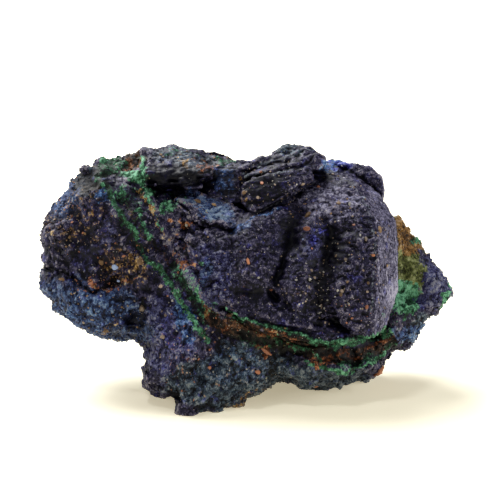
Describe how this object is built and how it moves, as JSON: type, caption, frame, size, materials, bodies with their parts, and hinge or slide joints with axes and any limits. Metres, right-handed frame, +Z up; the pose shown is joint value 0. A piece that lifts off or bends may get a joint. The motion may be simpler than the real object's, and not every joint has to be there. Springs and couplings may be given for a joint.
{
  "type": "azurite specimen",
  "caption": "Loose azurite specimen: a cluster of intergrown tabular crystals seated in a knobbly azurite and malachite matrix, resting on its flat underside.",
  "frame": {"origin": "middle of the box's base, on the surface that the specimen rests on", "axes": "+X along the specimen's length, to the right as its crystal face is seen; -Y towards the viewer; +Z up"},
  "size_m": [0.0522, 0.0316, 0.0306],
  "materials": {
    "matrix": "rough blue and green druse over brown iron oxide",
    "crystal_cluster": "dark violet-blue, satin, finely pitted crystal faces"
  },
  "bodies": {
    "root": {"matrix": "matrix", "crystal_cluster": "crystal_cluster"}
  },
  "joints": []
}
